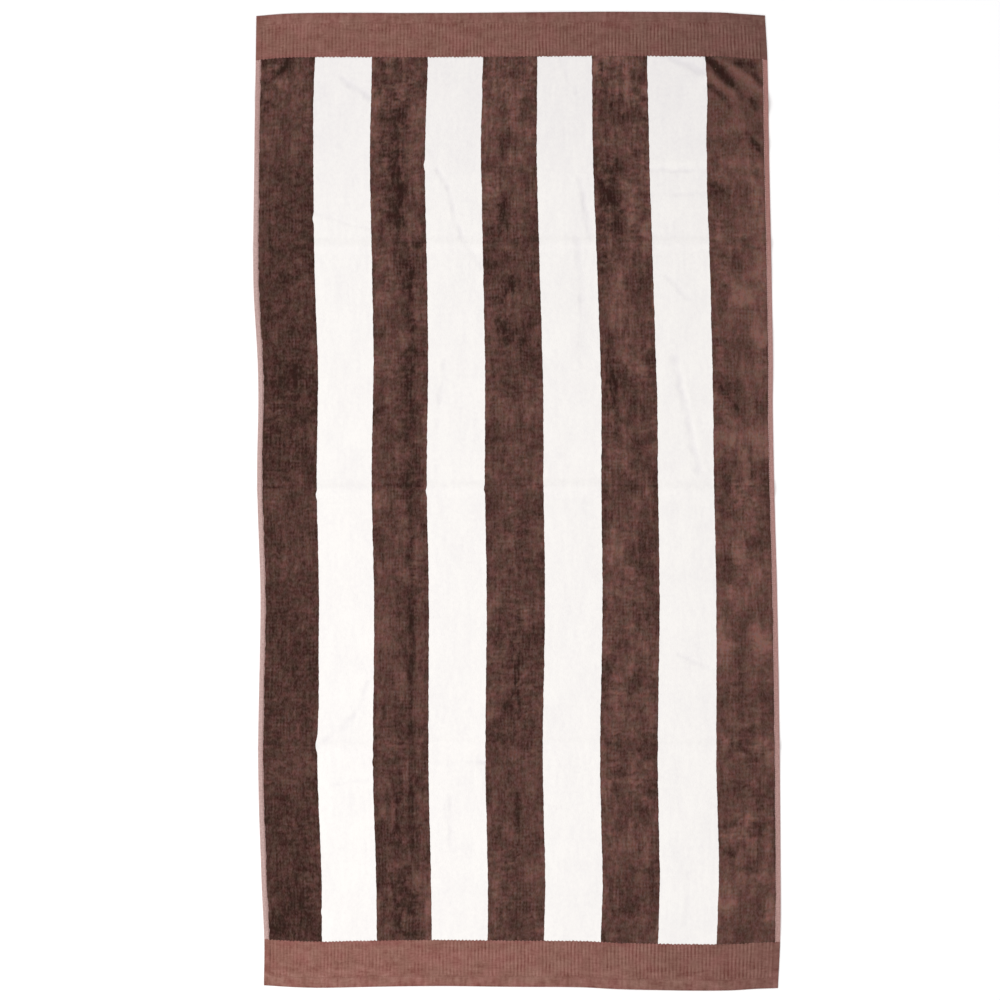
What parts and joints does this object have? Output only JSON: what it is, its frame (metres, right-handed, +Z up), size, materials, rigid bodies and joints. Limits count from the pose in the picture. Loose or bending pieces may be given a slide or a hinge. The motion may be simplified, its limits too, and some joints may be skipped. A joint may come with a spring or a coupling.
{
  "type": "beach towel",
  "caption": "Velour beach towel with lengthwise brown and white stripes, flat-woven side strips, ribbed end borders and plain turned hems, laid out flat.",
  "frame": {"origin": "centre of the towel's footprint, on the surface that it lies on", "axes": "+Z up out of the face, +Y along the stripes from the near end to the far end, +X across the stripes to the right"},
  "size_m": [0.9194, 1.7066, 0.0087],
  "materials": {
    "brown_pile": "dark brown cut pile, soft and matt, with nap marks",
    "white_pile": "white cut pile, soft and matt",
    "border_weave": "red-brown flat weave with lengthwise ribs, matt",
    "side_weave": "pinkish flat-woven side strip of brown and white yarns, matt",
    "sewing_thread": "red-brown sewing thread"
  },
  "bodies": {
    "root": {"towel": "brown_pile"}
  },
  "joints": []
}
